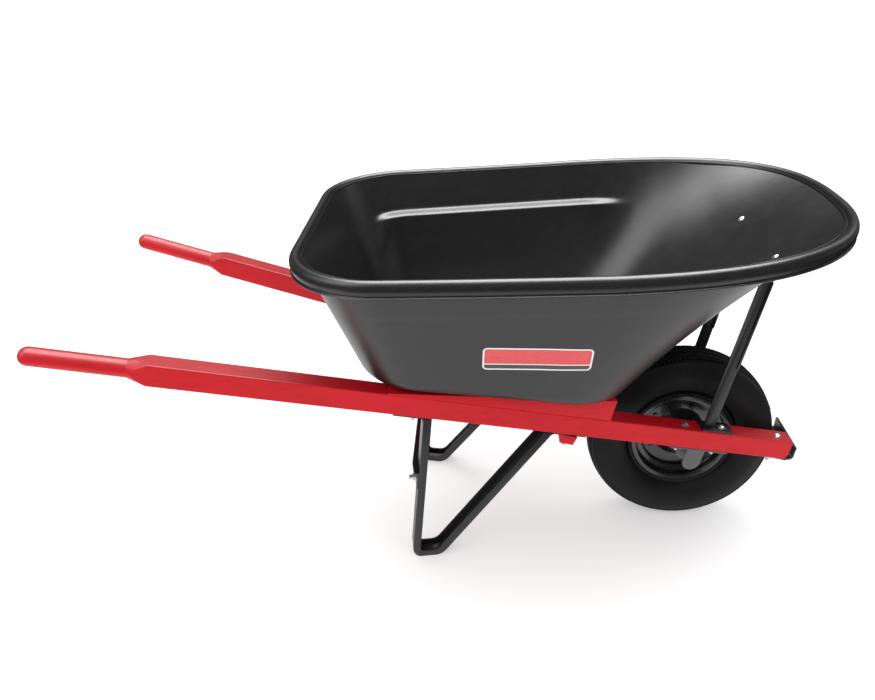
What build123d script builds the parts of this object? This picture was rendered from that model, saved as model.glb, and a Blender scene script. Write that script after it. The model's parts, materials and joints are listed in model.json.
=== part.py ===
from build123d import *
import os
from math import atan2, cos, degrees, hypot, radians, sin, tan

# Contractor wheelbarrow. Millimetres, +X forward, +Y left, +Z up, floor at Z = 0.
# Everything is laid out from the wheel axle, then moved so that the origin is the middle of the length.

# wheel
tyre_radius = 203.0
tyre_half_width = 49.5
tyre_section_height = 91.8
tyre_wall = 6.5
bead_clearance = 0.05
bead_inset = 5.5
tube_wall = 2.0
tube_clearance = 0.6
rim_flange_radius = 108.0
rim_half_width = 33.0
rim_bead_radius = 100.5
rim_well_radius = 86.0
rim_sheet = 2.4
rim_bolt_count = 5
rim_bolt_circle = 68.0
rim_bolt_radius = 3.0
hub_radius = 17.0
hub_half_length = 60.0
bearing_radius = 12.7
bearing_length = 14.0
bearing_flange_radius = 15.5
bearing_flange = 2.0
axle_radius = 7.94
running_clearance = 0.06
axle_end_clearance = 0.5
spacer_radius = 12.0
spacer_clearance = 0.4
valve_angle = 118.0
valve_radius = 4.0
valve_length = 20.0

# handles: both axes lie in one sloping deck plane and splay apart towards the grips
handle_length = 1520.0
handle_height = 44.5
handle_width = 41.3
handle_front_x = 215.8
handle_front_z = 212.6
handle_front_spacing = 132.0
deck_pitch = 11.93
handle_splay = 8.4
handle_edge_round = 2.5
handle_nose_chamfer = 9.0
grip_radius = 17.5
grip_length = 181.0
shoulder_length = 46.0
shoulder_radius = 33.0

# riser wedges, measured along the deck
wedge_front = 415.0
wedge_length = 461.0
wedge_height = 46.7
wedge_blunt_end = 1.6

# tray
tray_wall = 5.0
tray_floor_round = 42.0
rim_height = 732.7
rim_pitch = 3.95
rim_lip_width = 22.0
rim_lip_depth = 27.5
rim_lip_sheet = 4.0
rim_lip_round = 7.0
rim_rear = -793.9
rim_front = 241.8
rim_widest = -233.0
rim_half = 357.4
rim_rear_half = 327.3
rim_corner = 174.0
rim_fullness = 2.58
swell_depth = 82.0
swell_rear = -745.0
swell_front = 102.0
swell_widest = -230.0
swell_half = 308.0
swell_rear_half = 281.0
swell_corner = 140.0
swell_fullness = 2.6
floor_rear = -504.0
floor_front = 21.0
floor_widest = -155.0
floor_half = 199.0
floor_rear_half = 217.0
floor_corner = 105.0
floor_fullness = 3.0
outline_points = 18

# legs: outer face of the bent channel, in the handle's own frame
steel = 3.0
leg_width = 37.0
leg_flange = 15.5
leg_rear_top = 793.4
leg_front_top = 528.8
leg_rear_pad = 60.0
leg_front_pad = 70.0
leg_post_lean = 7.85
leg_strut_lean = 25.0
leg_top_bend = 9.0
leg_heel_bend = 22.0
leg_toe_bend = 38.0
foot_trim = 0.9

# cross pieces
leg_brace_height = 200.0
leg_brace_depth = 40.0
leg_brace_shelf = 11.0
cross_member_height = 19.0
cross_member_width = 36.0
cross_member_taper = 4.0

# axle brackets
bracket_sheet = 3.5
bracket_front = 140.0
bracket_rear = 268.0
bracket_ear_radius = 20.0

# tray braces
brace_bolt_x = 104.0
brace_bolt_y = 110.0
brace_width = 24.0
brace_flange = 6.0
brace_steel = 4.0
brace_bend_x = 193.0
brace_bend_rise = 26.0
brace_foot_length = 50.0
brace_foot_width = 36.0
brace_tab_length = 46.0
brace_tab_width = 32.0
brace_bar_offset = 14.0
brace_flange_middle = 0.6
brace_flange_share = 0.54

# nose guard
guard_steel = 4.0
guard_rear = 56.0
guard_reach = 34.0
guard_drop = 9.0
guard_lip = 32.0
guard_lip_half = 60.5
guard_rear_half = 84.0
guard_notch_front = 5.0
guard_notch_front_half = 46.0
guard_notch_rear_half = 57.0

# fasteners
bolt_radius = 3.97
bolt_hole_radius = 4.3
bolt_head_radius = 8.8
bolt_head_height = 4.6
nut_across_flats = 13.0
nut_height = 6.8
washer_radius = 9.0
washer_sheet = 1.8
bolt_stick_out = 6.0
seat_depth = 20.0
seat_margin = 1.0
rear_floor_bolt = 811.0
front_floor_bolt = 492.0
rear_bracket_bolt = 246.0
foot_bolt = 163.0
nose_bolt = 28.0
leg_brace_bolt_drop = 22.0

# badge
badge_length = 196.0
badge_height = 56.0
badge_corner = 9.0
badge_sheet = 0.5
badge_x = -347.0
badge_z = 516.0

# values worked out from the sizes above
deck_top = handle_height / 2
deck_bottom = -handle_height / 2
pad_bottom = deck_bottom - steel
wedge_angle = degrees(atan2(wedge_height, wedge_length))
wedge_rear = wedge_front + wedge_length
pitch = radians(deck_pitch)
splay = radians(handle_splay)
front_half_spacing = handle_front_spacing / 2
grip_start = handle_length - grip_length

deck_plane = Plane(
    origin=(handle_front_x, 0, handle_front_z),
    x_dir=(-cos(pitch), 0, sin(pitch)),
    z_dir=(sin(pitch), 0, cos(pitch)),
)
deck = deck_plane.location
right_handle_frame = deck * Pos(0, front_half_spacing, 0) * Rot(0, 0, handle_splay)
floor_frame = deck * Pos(wedge_front, 0, deck_top + wedge_height) * Rot(0, wedge_angle, 0) * Rot(0, 0, 180)
rim_frame = Pos(0, 0, rim_height) * Rot(0, -rim_pitch, 0)
wheel_frame = Pos(0, 0, tyre_radius) * Rot(90, 0, 0)


def in_frame(frame, point):
    """World point in the coordinates of a frame."""
    return (frame.inverse() * Pos(*point)).position


axle_in_deck = in_frame(deck, (0, 0, tyre_radius))
axle_in_handle = in_frame(
    right_handle_frame,
    (0, -(front_half_spacing + axle_in_deck.X * tan(splay)), tyre_radius),
)


def mirrored(shape):
    return mirror(shape, about=Plane.XZ)


def spun(profile):
    """Turn a profile drawn as (along axle, radius) around the axle."""
    return wheel_frame * revolve(Plane.XZ * Rot(0, 0, 90) * profile, Axis.Z)


# ---------------------------------------------------------------- bent strips


def shifted(points, distance):
    """Corners of a polyline moved to its left by a distance."""
    moved = []
    lines = []
    for (ax, ay), (bx, by) in zip(points, points[1:]):
        length = hypot(bx - ax, by - ay)
        nx, ny = -(by - ay) / length * distance, (bx - ax) / length * distance
        lines.append(((ax + nx, ay + ny), (bx + nx, by + ny)))
    moved.append(lines[0][0])
    for (p, q), (r, s) in zip(lines, lines[1:]):
        ux, uy = q[0] - p[0], q[1] - p[1]
        vx, vy = s[0] - r[0], s[1] - r[1]
        step = ((r[0] - p[0]) * vy - (r[1] - p[1]) * vx) / (ux * vy - uy * vx)
        moved.append((p[0] + ux * step, p[1] + uy * step))
    moved.append(lines[-1][1])
    return moved


def turns_left(a, b, c):
    return (b[0] - a[0]) * (c[1] - b[1]) - (b[1] - a[1]) * (c[0] - b[0]) > 0


def strip_face(points, radii, near, far):
    """Band between two parallels of a bent line, near and far to its left, with true bends."""
    rows = []
    for distance in (near, far):
        bends = []
        for (a, b, c), radius in zip(zip(points, points[1:], points[2:]), radii):
            bends.append(radius - distance if turns_left(a, b, c) else radius + distance)
        rows.append((shifted(points, distance), bends))
    (near_row, near_bends), (far_row, far_bends) = rows
    near_edge = FilletPolyline(*near_row, radius=near_bends)
    far_edge = FilletPolyline(*far_row, radius=far_bends)
    ends = [Line(near_row[0], far_row[0]), Line(near_row[-1], far_row[-1])]
    return make_face(Wire(near_edge.edges() + far_edge.edges() + ends).edges())


# ---------------------------------------------------------------- fasteners


def dome(radius, height):
    """Low domed bolt head standing on Z = 0."""
    ball = (radius * radius + height * height) / (2 * height)
    slab = Pos(0, 0, height / 2) * Cylinder(radius, height)
    return slab & (Pos(0, 0, height - ball) * Sphere(ball))


def shank(top, bottom, radius=bolt_radius):
    return Pos(0, 0, (top + bottom) / 2) * Cylinder(radius, top - bottom)


def ring(outer, inner, bottom, height):
    return Pos(0, 0, bottom + height / 2) * (Cylinder(outer, height) - Cylinder(inner, height + 1))


def hex_nut(top):
    body = extrude(RegularPolygon(nut_across_flats / 2, 6, major_radius=False), nut_height)
    body -= Pos(0, 0, nut_height / 2) * Cylinder(bolt_radius, nut_height + 1)
    return Pos(0, 0, top - nut_height) * body


class Fastener:
    """Carriage bolt down a frame's -Z axis, with its washer and nut under the stack."""

    def __init__(self, frame, top, bottom, head_frame=None):
        nut_top = bottom - washer_sheet
        end = nut_top - nut_height - bolt_stick_out
        head = (head_frame or frame * Pos(0, 0, top)) * dome(bolt_head_radius, bolt_head_height)
        self.bolt = frame * shank(top + 0.5, end) + head
        self.washer = frame * ring(washer_radius, bolt_radius, nut_top, washer_sheet)
        self.nut = frame * hex_nut(nut_top)
        self.hole = frame * shank(top + 30, end, bolt_hole_radius)
        self.seat = None


def floor_top_in_deck(x):
    """Height of the tray floor's upper face over the deck plane, at a place along the deck."""
    return deck_top + (wedge_rear - x) * tan(radians(wedge_angle)) + tray_wall / cos(radians(wedge_angle))


def floor_fastener(along, bottom):
    spot = right_handle_frame * Pos(along, 0, 0)
    across = in_frame(deck, spot.position)
    top = floor_top_in_deck(across.X)
    on_floor = spot * Pos(0, 0, top)
    head_frame = Location(on_floor.position, floor_frame.orientation)
    fastener = Fastener(spot, top, bottom, head_frame)
    fastener.seat = head_frame * Pos(0, 0, seat_depth / 2) * Cylinder(bolt_head_radius + seat_margin, seat_depth)
    return fastener


def handle_fastener(along, top, bottom):
    return Fastener(right_handle_frame * Pos(along, 0, 0), top, bottom)


# ---------------------------------------------------------------- tray


class Outline:
    """Tray plan: straight rear, rounded corners, tapering sides and a full rounded front."""

    def __init__(self, rear, front, widest, half, rear_half, corner, fullness):
        self.sizes = (rear, front, widest, half, rear_half, corner)
        self.fullness = fullness

    def face(self, grow=0.0):
        rear, front, widest, half, rear_half, corner = self.sizes
        rear -= grow
        front += grow
        half += grow
        rear_half += grow
        corner += grow
        back = FilletPolyline((rear, 0), (rear, rear_half), (widest, half), radius=corner)
        points = [(widest, half)]
        for angle in (60, 30, 0):
            reach = cos(radians(angle)) ** (2 / self.fullness)
            rise = sin(radians(angle)) ** (2 / self.fullness)
            points.append((widest + (front - widest) * reach, half * rise))
        slope = (half - rear_half) / (widest - rear)
        side = Wire(back.edges() + [Spline(*points, tangents=((1, slope), (0, -1)))])
        spots = [side.position_at(step / outline_points) for step in range(outline_points + 1)]
        right_side = [(spot.X, -spot.Y) for spot in reversed(spots[1:-1])]
        smooth = Spline(*[(spot.X, spot.Y) for spot in spots], *right_side, periodic=True)
        return make_face(smooth.edges())


rim_outline = Outline(rim_rear, rim_front, rim_widest, rim_half, rim_rear_half, rim_corner, rim_fullness)
floor_outline = Outline(
    floor_rear, floor_front, floor_widest, floor_half, floor_rear_half, floor_corner, floor_fullness
)
swell_outline = Outline(
    swell_rear, swell_front, swell_widest, swell_half, swell_rear_half, swell_corner, swell_fullness
)
wall_inset = rim_lip_width - tray_wall


def tray_body(grow, lift, rise):
    """Solid bowl from the floor plane, lifted by a wall, through the swell, up to the rim plane."""
    low = floor_frame * Pos(0, 0, lift) * floor_outline.face(grow)
    middle = rim_frame * Pos(0, 0, -swell_depth) * swell_outline.face(grow)
    high = rim_frame * Pos(0, 0, rise) * rim_outline.face(grow - wall_inset)
    bowl = loft([low, middle, high])
    base = bowl.faces().sort_by(Axis.Z)[0]
    return fillet(base.edges(), tray_floor_round + grow)


def make_tray():
    outside = tray_body(0, 0, -rim_lip_sheet)
    inside = tray_body(-tray_wall, tray_wall, 0.5)
    lip = extrude(rim_outline.face(), -rim_lip_depth)
    lip = fillet(lip.faces().sort_by(Axis.Z)[-1].edges(), rim_lip_round)
    hollow = extrude(rim_outline.face(-rim_lip_sheet), rim_lip_depth - rim_lip_sheet)
    lip = rim_frame * (lip - Pos(0, 0, -rim_lip_depth) * hollow)
    mouth = rim_frame * (Pos(0, 0, -rim_lip_sheet - 1) * extrude(rim_outline.face(-rim_lip_width), rim_lip_depth))
    return outside + lip - inside - mouth


# ---------------------------------------------------------------- handles and wood


def make_handle():
    bar = Pos(handle_length / 2, 0, 0) * Box(handle_length, handle_width, handle_height)
    bar = fillet(bar.edges().filter_by(Axis.X), handle_edge_round)
    bar -= Pos(0, 0, deck_bottom) * Rot(0, 45, 0) * Box(
        handle_nose_chamfer * 1.4, handle_width + 2, handle_nose_chamfer * 1.4
    )
    start = grip_start - shoulder_length
    arc_centre = handle_length - grip_radius
    outline = Polyline(
        (-1, 0), (-1, shoulder_radius), (start, shoulder_radius), (grip_start, grip_radius), (arc_centre, grip_radius)
    )
    end = RadiusArc((arc_centre, grip_radius), (handle_length, 0), grip_radius)
    closing = Line((handle_length, 0), (-1, 0))
    turned = revolve(make_face(Wire(outline.edges() + [end, closing]).edges()), Axis.X)
    return right_handle_frame * (bar & turned)


def make_wedge():
    start = wedge_front / cos(splay)
    reach = wedge_length / cos(splay)
    blank_height = wedge_height + handle_width
    blank = Pos(start + reach / 2, 0, deck_top + blank_height / 2) * Box(reach, handle_width, blank_height)
    blank = right_handle_frame * blank
    above = floor_frame * Pos(0, 0, 500) * Box(3000, 1000, 1000)
    blunt = wedge_length * wedge_blunt_end / wedge_height
    behind = deck * Pos(wedge_rear - blunt + 250, 200, 0) * Box(500, 1000, 1000)
    return blank - above - behind


def make_cross_member():
    half = cross_member_width / 2
    tip = half - cross_member_taper
    middle = front_floor_bolt * cos(splay)
    section = Polygon(
        (-half, 0), (half, 0), (tip, -cross_member_height), (-tip, -cross_member_height), align=None
    )
    reach = front_half_spacing + front_floor_bolt * sin(splay) + handle_width / 2
    bar = extrude(Plane.XZ * section, reach, both=True)
    return deck * Pos(middle, 0, pad_bottom) * bar


# ---------------------------------------------------------------- legs


def leg_corners():
    """Corners of the channel's outer face, from the rear pad down to the foot and up to the front pad."""
    drop = in_frame(right_handle_frame, (0, 0, -foot_trim))
    down = in_frame(right_handle_frame, (100, 0, -foot_trim))
    fall = (down.Z - drop.Z) / (down.X - drop.X)
    post = tan(radians(leg_post_lean))
    strut = tan(radians(leg_strut_lean))
    across = in_frame(right_handle_frame, (0, -front_half_spacing - 700 * sin(splay), -foot_trim))
    base = across.Z - fall * across.X
    heel_x = (leg_rear_top + (base - pad_bottom) * post) / (1 - fall * post)
    toe_x = (leg_front_top - (base - pad_bottom) * strut) / (1 + fall * strut)
    return [
        (leg_rear_top + leg_rear_pad, pad_bottom),
        (leg_rear_top, pad_bottom),
        (heel_x, base + fall * heel_x),
        (toe_x, base + fall * toe_x),
        (leg_front_top, pad_bottom),
        (leg_front_top - leg_front_pad, pad_bottom),
    ]


leg_bends = [leg_top_bend, leg_heel_bend, leg_toe_bend, leg_top_bend]


def make_leg():
    corners = leg_corners()
    side = Plane(origin=(0, 0, 0), x_dir=(1, 0, 0), z_dir=(0, -1, 0))
    web = extrude(side * strip_face(corners, leg_bends, 0, -steel), leg_width / 2, both=True)
    flange_band = side * strip_face(corners[1:5], leg_bends[1:3], 0, -leg_flange)
    band = extrude(flange_band, leg_width / 2, both=True)
    hollow = extrude(flange_band, leg_width / 2 - steel, both=True)
    low = Pos(0, 0, pad_bottom - 500) * Box(4000, 400, 1000)
    leg = web + ((band - hollow) & low)
    underground = Pos(0, 0, -500) * Box(6000, 4000, 1000)
    return right_handle_frame * leg - underground


def post_frame():
    """Frame on the rear face of the right leg's post: X rearwards, Z up along the post."""
    corners = leg_corners()
    (top_x, top_z), (heel_x, heel_z) = corners[1], corners[2]
    top = (right_handle_frame * Pos(top_x, 0, top_z)).position
    heel = (right_handle_frame * Pos(heel_x, 0, heel_z)).position
    share = (leg_brace_height - heel.Z) / (top.Z - heel.Z)
    x, z = heel_x + (top_x - heel_x) * share, heel_z + (top_z - heel_z) * share
    return right_handle_frame * Pos(x, 0, z) * Rot(0, leg_post_lean, 0)


def make_leg_brace():
    post = post_frame()
    tab = post * Pos(steel / 2, 0, 0) * Box(steel, leg_width, leg_brace_depth)
    shelf_tab = post * Pos(leg_brace_shelf / 2, 0, leg_brace_depth / 2 - steel / 2) * Box(
        leg_brace_shelf, leg_width, steel
    )
    inner_edge = post * Pos(0, -leg_width / 2, 0)
    reach = -inner_edge.position.Y + steel
    middle = Pos(inner_edge.position.X, 0, inner_edge.position.Z) * Rot(0, deck_pitch - leg_post_lean, 0)
    web = middle * Pos(-steel / 2, 0, 0) * Box(steel, 2 * reach, leg_brace_depth)
    shelf = middle * Pos(-leg_brace_shelf / 2, 0, leg_brace_depth / 2 - steel / 2) * Box(
        leg_brace_shelf, 2 * reach, steel
    )
    half = tab + shelf_tab
    return web + shelf + half + mirrored(half)


# ---------------------------------------------------------------- front end


def make_bracket():
    length = bracket_rear - bracket_front
    middle = (bracket_rear + bracket_front) / 2
    plate = Pos(middle, 0, deck_bottom - bracket_sheet / 2) * Box(length, handle_width, bracket_sheet)
    drop = deck_bottom - axle_in_handle.Z
    ear_face = Circle(bracket_ear_radius) + Pos(0, drop / 2) * Rectangle(2 * bracket_ear_radius, drop)
    ear = extrude(Plane(origin=(0, 0, 0), x_dir=(1, 0, 0), z_dir=(0, -1, 0)) * ear_face, bracket_sheet)
    ear_spot = Pos(axle_in_handle.X, 0, axle_in_handle.Z)
    outer_ear = ear_spot * Pos(0, handle_width / 2, 0) * ear
    inner_ear = ear_spot * Pos(0, bracket_sheet - handle_width / 2, 0) * ear
    bore = Pos(0, 0, tyre_radius) * Rot(90, 0, 0) * Cylinder(axle_radius + 0.05, 2 * axle_half_length)
    return right_handle_frame * (plate + outer_ear + inner_ear) - bore


def ear_distance(offset, radius):
    """Distance from the middle plane to a bracket ear's plane, at the near side of a round part."""
    line = front_half_spacing + axle_in_deck.X * tan(splay) + offset / cos(splay)
    return line - radius * tan(splay)


axle_half_length = ear_distance(handle_width / 2 - bracket_sheet, axle_radius) - axle_end_clearance
spacer_end = ear_distance(-handle_width / 2, spacer_radius) - spacer_clearance


def make_nose_guard():
    bottom = deck_bottom - guard_steel
    lip_lean = guard_lip * sin(pitch) / cos(pitch) * 0.5
    corners = [
        (guard_rear, bottom),
        (-guard_steel, bottom),
        (-guard_reach, bottom - guard_drop),
        (-guard_reach + lip_lean, bottom - guard_drop + guard_lip),
    ]
    side = Plane(origin=(0, 0, 0), x_dir=(1, 0, 0), z_dir=(0, -1, 0))
    bends = [12.0, guard_steel + 1.5]
    bent = extrude(side * strip_face(corners, bends, 0, -guard_steel), guard_rear_half, both=True)
    plan = Polygon(
        (guard_rear, -guard_rear_half),
        (-guard_steel, -guard_rear_half),
        (-guard_reach + 2, -guard_lip_half),
        (-guard_reach - 20, -guard_lip_half),
        (-guard_reach - 20, guard_lip_half),
        (-guard_reach + 2, guard_lip_half),
        (-guard_steel, guard_rear_half),
        (guard_rear, guard_rear_half),
        align=None,
    )
    plan -= Polygon(
        (guard_rear + 1, -guard_notch_rear_half),
        (guard_notch_front, -guard_notch_front_half),
        (guard_notch_front, guard_notch_front_half),
        (guard_rear + 1, guard_notch_rear_half),
        align=None,
    )
    return deck * (bent & extrude(plan, 200, both=True))


class BraceLayout:
    """Where the right tray brace starts on the tray's front slope and ends on the handle."""

    def __init__(self, outside):
        ray = Axis((brace_bolt_x, -brace_bolt_y, 0), (0, 0, 1))
        hits = outside.find_intersection_points(ray)
        point, normal = sorted(hits, key=lambda hit: hit[0].Z)[0]
        if normal.Z > 0:
            normal = -normal
        self.slope = Plane(origin=point, x_dir=(0, 1, 0), z_dir=normal)
        self.bend = (right_handle_frame * Pos(brace_bend_x, 0, deck_top + brace_bend_rise)).position


def make_tray_brace(layout, outside):
    slope = layout.slope.location
    tab = slope * Pos(0, 0, brace_steel / 2 - 0.5) * Box(brace_tab_width, brace_tab_length, brace_steel + 1)
    top = (slope * Pos(brace_bar_offset, 0, brace_steel)).position
    run = top - layout.bend
    bar_plane = Plane(origin=layout.bend, x_dir=Vector(0, -1, 0).cross(run), z_dir=run)
    bar = bar_plane.location * Pos(0, 0, run.length / 2) * Box(brace_width, brace_steel, run.length)
    flange = bar_plane.location * Pos(
        -brace_width / 2 + brace_steel / 2, 0, run.length * brace_flange_middle
    ) * Box(brace_steel, 2 * brace_flange, run.length * brace_flange_share)
    foot_x = foot_bolt + (brace_bend_x - foot_bolt) / 2
    foot = Pos(foot_x, 0, deck_top + brace_steel / 2) * Box(
        brace_foot_length + 20, brace_foot_width, brace_steel
    )
    knee_reach = hypot(brace_width / 2, brace_bend_rise)
    knee = Pos(brace_bend_x, 0, deck_top + knee_reach / 2) * Box(brace_width, brace_steel, knee_reach + 6)
    above_handle = Pos(0, 0, deck_top + 500) * Box(4000, 400, 1000)
    foot_part = right_handle_frame * (foot + (knee & above_handle))
    clear_of_handle = right_handle_frame * Pos(0, 0, deck_top - 500) * Box(4000, 400, 1000)
    return (tab + bar + flange - clear_of_handle + foot_part) - outside


# ---------------------------------------------------------------- wheel


def make_tyre():
    half_height = tyre_section_height / 2
    middle = tyre_radius - half_height
    bead_height = middle - rim_bead_radius - bead_clearance
    bead_width = 2 * (rim_half_width - rim_sheet - bead_inset)
    outer = Pos(0, middle) * Ellipse(tyre_half_width, half_height)
    outer += Pos(0, middle - bead_height / 2) * Rectangle(bead_width, bead_height)
    inner = Pos(0, middle) * Ellipse(tyre_half_width - tyre_wall, half_height - tyre_wall)
    gap = Pos(0, middle - bead_height / 2 - 1) * Rectangle(bead_width - 4 * tyre_wall, bead_height + 2)
    return spun(outer - inner - gap)


def make_inner_tube():
    half_height = tyre_section_height / 2 - tyre_wall - tube_clearance
    half_width = tyre_half_width - tyre_wall - tube_clearance
    middle = tyre_radius - tyre_section_height / 2
    outer = Ellipse(half_width, half_height)
    inner = Ellipse(half_width - tube_wall, half_height - tube_wall)
    return spun(Pos(0, middle) * (outer - inner))


def make_rim_half():
    """Right half of the two-piece pressed rim, with its dish running to the hub."""
    seam = 0.1
    corners = [
        (rim_half_width, rim_flange_radius),
        (rim_half_width - 3, rim_bead_radius - rim_sheet),
        (16, rim_bead_radius - 1.5 - rim_sheet),
        (11, rim_well_radius - rim_sheet),
        (seam + rim_sheet, rim_well_radius - rim_sheet),
        (seam + rim_sheet, 56),
        (28, 34),
        (28, hub_radius),
    ]
    bends = [5.0, 5.0, 4.0, 3.0, 9.0, 9.0]
    sheet = strip_face(corners, bends, 0, -rim_sheet)
    half = spun(sheet)
    for place in range(rim_bolt_count):
        spot = wheel_frame * Rot(0, 0, place * 360 / rim_bolt_count) * Pos(rim_bolt_circle, 0, 0)
        half -= spot * Cylinder(rim_bolt_radius + 0.2, 4 * rim_half_width)
    return half


def make_rim_bolts():
    bolts, nuts = [], []
    grip = rim_sheet + 0.1
    for place in range(rim_bolt_count):
        spot = wheel_frame * Rot(0, 0, place * 360 / rim_bolt_count) * Pos(rim_bolt_circle, 0, 0)
        head = extrude(RegularPolygon(5.0, 6, major_radius=False), 4)
        nut = extrude(RegularPolygon(5.0, 6, major_radius=False), 5)
        nut -= Cylinder(rim_bolt_radius, 20)
        bolts.append(spot * (shank(grip + 0.5, -grip - 9, rim_bolt_radius) + Pos(0, 0, grip) * head))
        nuts.append(spot * Pos(0, 0, -grip - 5) * nut)
    return bolts, nuts


def make_hub():
    tube = Cylinder(hub_radius, 2 * hub_half_length) - Cylinder(bearing_radius, 2 * hub_half_length + 2)
    return wheel_frame * (tube - Pos(0, hub_radius, 0) * Rot(90, 0, 0) * Cylinder(2.5, 20))


def make_bearing():
    """Right flanged bearing, pushed into the end of the hub."""
    bore = axle_radius + running_clearance
    sleeve = ring(bearing_radius, bore, hub_half_length - bearing_length, bearing_length)
    flange = ring(bearing_flange_radius, bore, hub_half_length, bearing_flange)
    return wheel_frame * (sleeve + flange)


def make_spacer():
    start = hub_half_length + bearing_flange + 0.5
    return wheel_frame * ring(spacer_radius, axle_radius, start, spacer_end - start)


def make_grease_fitting():
    stem = Pos(0, hub_radius - 2, 0) * Rot(-90, 0, 0) * ring(2.5, 0.6, 0, 7)
    nose = Pos(0, hub_radius + 4, 0) * Rot(-90, 0, 0) * Pos(0, 0, 1.5) * Sphere(3.2)
    return wheel_frame * (stem + nose)


def valve_frame():
    """Frame on the rim well's inner face, Z pointing to the hub, beside the dish."""
    offset = 3 * rim_sheet + valve_radius - 1
    turn = wheel_frame * Rot(0, 0, valve_angle)
    return turn * Pos(rim_well_radius - rim_sheet, 0, offset) * Rot(0, -90, 0)


def make_valve():
    place = valve_frame()
    stem = place * ring(valve_radius, 1.2, 0.0, valve_length)
    cap = place * Pos(0, 0, valve_length) * (Pos(0, 0, 4) * Cylinder(valve_radius + 0.6, 8))
    return stem, cap


# ---------------------------------------------------------------- badge


def make_badge():
    """Thin plain label that follows the tray's right wall."""
    shell = tray_body(badge_sheet, -badge_sheet, -rim_lip_sheet) - tray_body(0, 0, -rim_lip_sheet)
    plate = RectangleRounded(badge_length, badge_height, badge_corner)
    side = Plane(origin=(badge_x, 0, badge_z), x_dir=(1, 0, 0), z_dir=(0, -1, 0))
    return extrude(side * plate, 500) & shell


# ---------------------------------------------------------------- assembly


def build():
    outside = tray_body(0, 0, -rim_lip_sheet)
    layout = BraceLayout(outside)
    brace_slope = layout.slope.location
    tray_head = Location(
        (brace_slope * Pos(0, 0, -tray_wall)).position, (brace_slope * Rot(180, 0, 0)).orientation
    )
    post = post_frame() * Rot(0, -90, 0)
    side_bolts = {
        "floor": [
            floor_fastener(rear_floor_bolt, pad_bottom),
            floor_fastener(front_floor_bolt, pad_bottom - cross_member_height),
        ],
        "bracket": [handle_fastener(rear_bracket_bolt, deck_top, deck_bottom - bracket_sheet)],
        "foot": [handle_fastener(foot_bolt, deck_top + brace_steel, deck_bottom - bracket_sheet)],
        "nose": [handle_fastener(nose_bolt, deck_top, deck_bottom - guard_steel)],
        "slope": [Fastener(tray_head, 0, -tray_wall - brace_steel)],
        "leg_brace": [Fastener(post * Pos(-leg_brace_bolt_drop + 20, 0, 0), steel, -steel)],
    }
    holes = [fastener.hole for group in side_bolts.values() for fastener in group]
    seats = [fastener.seat for fastener in side_bolts["floor"]]

    def drilled(shape):
        for hole in holes:
            shape -= hole
        return shape

    def both(name, shape):
        nodes[name + "_right"] = shape
        nodes[name + "_left"] = mirrored(shape)

    nodes = {}
    tray = make_tray()
    for hole in holes + seats:
        tray = tray - hole - mirrored(hole)
    nodes["tray"] = tray
    both("handle", drilled(make_handle()))
    both("wedge", drilled(make_wedge()))
    both("leg", drilled(make_leg()))
    both("tray_brace", drilled(make_tray_brace(layout, outside)))
    both("axle_bracket", drilled(make_bracket()))
    for name, make in (
        ("leg_brace", make_leg_brace), ("cross_member", make_cross_member), ("nose_guard", make_nose_guard)
    ):
        shape = make()
        for hole in holes:
            shape = shape - hole - mirrored(hole)
        nodes[name] = shape
    both("badge", make_badge())

    nodes["axle"] = wheel_frame * Cylinder(axle_radius, 2 * axle_half_length)
    both("axle_spacer", make_spacer())
    nodes["tyre"] = make_tyre()
    nodes["inner_tube"] = make_inner_tube()
    both("rim", make_rim_half())
    nodes["hub"] = make_hub()
    both("bearing", make_bearing())
    nodes["grease_fitting"] = make_grease_fitting()
    nodes["valve_stem"], nodes["valve_cap"] = make_valve()
    rim_bolts, rim_nuts = make_rim_bolts()
    nodes["rim_bolts"] = Compound(children=rim_bolts)
    nodes["rim_nuts"] = Compound(children=rim_nuts)

    nuts, washers = [], []
    for name, group in side_bolts.items():
        bolts = []
        for fastener in group:
            bolts += [fastener.bolt, mirrored(fastener.bolt)]
            nuts += [fastener.nut, mirrored(fastener.nut)]
            washers += [fastener.washer, mirrored(fastener.washer)]
        nodes[name + "_bolts"] = Compound(children=bolts)
    nodes["frame_nuts"] = Compound(children=nuts)
    nodes["frame_washers"] = Compound(children=washers)
    return nodes


def middle_of_length(nodes):
    """X of the middle between the rearmost and the foremost point, measured from the axle."""
    boxes = [shape.bounding_box() for shape in nodes.values()]
    return (min(box.min.X for box in boxes) + max(box.max.X for box in boxes)) / 2


if __name__ == "__main__":
    os.makedirs("parts", exist_ok=True)
    nodes = build()
    middle = middle_of_length(nodes)
    for name, shape in nodes.items():
        export_step(Pos(-middle, 0, 0) * shape, f"parts/{name}.step")
    print("axle at", round(-middle, 3), "from the origin")
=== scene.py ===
import json
import math

import bmesh
import bpy
from mathutils import Matrix, Vector
from mathutils.bvhtree import BVHTree


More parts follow.
